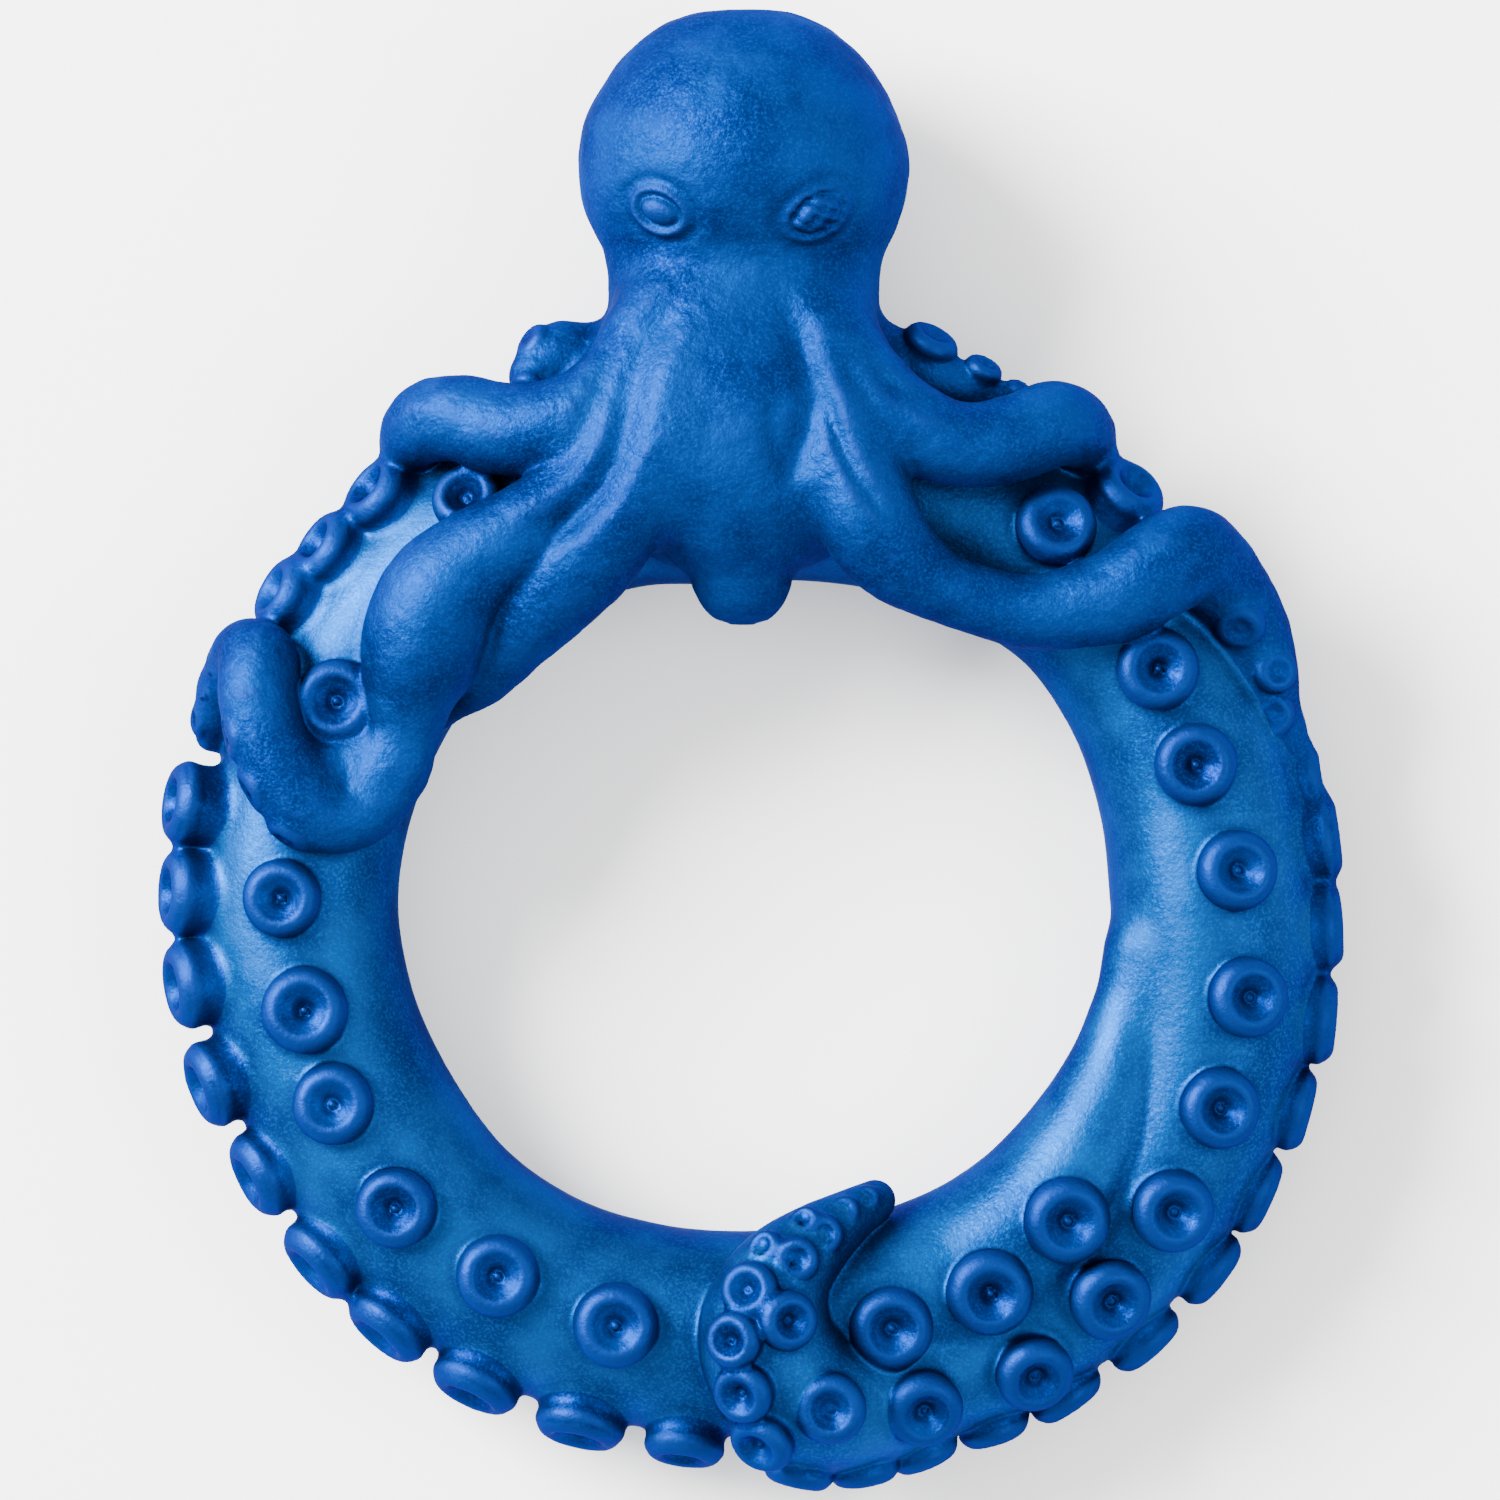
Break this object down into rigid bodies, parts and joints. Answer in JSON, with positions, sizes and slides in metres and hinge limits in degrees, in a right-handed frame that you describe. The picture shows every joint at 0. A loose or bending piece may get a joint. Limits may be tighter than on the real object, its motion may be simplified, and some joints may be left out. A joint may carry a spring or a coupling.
{
  "type": "octopus stretch ring",
  "caption": "Soft silicone ring moulded as an octopus whose two suckered tentacles wrap round a wide opening.",
  "frame": {"origin": "on the axis of the ring's opening, in the flat plane the back rests on", "axes": "+Z out of the face, along the opening's axis; +Y from the opening towards the head; +X to the right as seen on the face"},
  "size_m": [0.059, 0.0741, 0.0163],
  "materials": {
    "head_and_body": "pearlescent satin silicone, finely pebbled",
    "eyes": "pearlescent satin silicone",
    "arms": "pearlescent satin silicone, finely pebbled",
    "ring_tentacles": "pearlescent satin silicone, smooth",
    "suckers": "pearlescent satin silicone"
  },
  "bodies": {
    "root": {"mantle_head": "head_and_body", "eye_left": "eyes", "eye_right": "eyes", "body_skirt": "head_and_body", "chin_lobe": "head_and_body", "ring_tentacle_left": "ring_tentacles", "ring_tentacle_right": "ring_tentacles", "arm_left_rear": "arms", "arm_left_upper": "arms", "arm_left_lower": "arms", "arm_left_inner": "arms", "arm_right_rear": "arms", "arm_right_upper": "arms", "arm_right_lower": "arms", "suckers_left_face": "suckers", "suckers_left_edge": "suckers", "suckers_inner_end": "suckers", "suckers_right_face": "suckers", "suckers_right_edge": "suckers", "suckers_tip": "suckers", "suckers_arms_left": "suckers", "suckers_arms_right": "suckers"}
  },
  "joints": []
}
